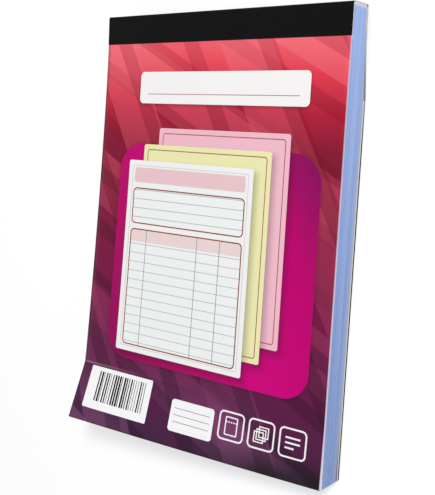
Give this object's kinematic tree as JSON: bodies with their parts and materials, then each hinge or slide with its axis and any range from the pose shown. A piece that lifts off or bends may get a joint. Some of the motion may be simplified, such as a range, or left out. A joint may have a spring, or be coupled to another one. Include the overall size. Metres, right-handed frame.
{
  "type": "carbonless invoice book",
  "caption": "Pocket book of carbonless three-part forms with a card cover and a board back, bound across the head with black tape; cover and leaves turn over the head.",
  "frame": {"origin": "middle of the outline at the level of the back face that the book lies on", "axes": "+X across the page to the right, +Y from the foot to the bound head, +Z out of the front cover"},
  "size_m": [0.137, 0.203, 0.0349],
  "materials": {
    "greyboard": "matte grey board",
    "shield_card": "matte light card",
    "binding_tape": "black binding tape, low sheen",
    "stitching_wire": "galvanised wire",
    "padding_glue": "dried padding glue",
    "cover_card": "printed gloss card",
    "white_paper": "uncoated paper",
    "yellow_paper": "uncoated paper",
    "pink_paper": "uncoated paper"
  },
  "bodies": {
    "book": {"back_board": "greyboard", "binding_tape": "binding_tape", "wire_stitches": "stitching_wire", "head_glue": "padding_glue", "cover_margin": "cover_card", "white_stub": "white_paper", "yellow_stub": "yellow_paper", "pink_stub": "pink_paper", "white_sheets_1": "white_paper", "white_sheets_2": "white_paper", "white_sheets_3": "white_paper", "white_sheets_4": "white_paper", "white_sheets_5": "white_paper", "white_sheets_6": "white_paper", "white_sheets_7": "white_paper", "yellow_sheets_1": "yellow_paper", "yellow_sheets_2": "yellow_paper", "yellow_sheets_3": "yellow_paper", "yellow_sheets_4": "yellow_paper", "yellow_sheets_5": "yellow_paper", "yellow_sheets_6": "yellow_paper", "yellow_sheets_7": "yellow_paper", "pink_sheets_1": "pink_paper", "pink_sheets_2": "pink_paper", "pink_sheets_3": "pink_paper", "pink_sheets_4": "pink_paper", "pink_sheets_5": "pink_paper", "pink_sheets_6": "pink_paper", "pink_sheets_7": "pink_paper"},
    "shield": {"writing_shield": "shield_card"},
    "cover": {"front_cover": "cover_card"},
    "white_root": {"white_strip": "white_paper"},
    "white_leaf": {"white_copy": "white_paper"},
    "yellow_root": {"yellow_strip": "yellow_paper"},
    "yellow_leaf": {"yellow_copy": "yellow_paper"},
    "pink_leaf": {"pink_copy": "pink_paper"}
  },
  "joints": [
    {"name": "cover_turn", "type": "hinge", "parent": "book", "child": "cover", "pos_m": [0, 0.088, 0.01501], "axis": [-1, 0, 0], "range_deg": [0, 175]},
    {"name": "white_turn", "type": "hinge", "parent": "book", "child": "white_root", "pos_m": [0, 0.088, 0.01501], "axis": [-1, 0, 0], "range_deg": [0, 140]},
    {"name": "yellow_turn", "type": "hinge", "parent": "book", "child": "yellow_root", "pos_m": [0, 0.088, 0.01501], "axis": [-1, 0, 0], "range_deg": [0, 105]},
    {"name": "pink_turn", "type": "hinge", "parent": "book", "child": "pink_leaf", "pos_m": [0, 0.088, 0.01501], "axis": [-1, 0, 0], "range_deg": [0, 70]},
    {"name": "white_tear", "type": "slide", "parent": "white_root", "child": "white_leaf", "axis": [0, -1, 0], "range_m": [0, 0.19]},
    {"name": "yellow_tear", "type": "slide", "parent": "yellow_root", "child": "yellow_leaf", "axis": [0, -1, 0], "range_m": [0, 0.19]},
    {"name": "shield_draw", "type": "slide", "parent": "book", "child": "shield", "axis": [0, -1, 0], "range_m": [0, 0.19]}
  ],
  "couplings": [
    {"joint": "white_turn", "follows": "cover_turn", "ratio": 0.8},
    {"joint": "yellow_turn", "follows": "cover_turn", "ratio": 0.6},
    {"joint": "pink_turn", "follows": "cover_turn", "ratio": 0.4}
  ]
}
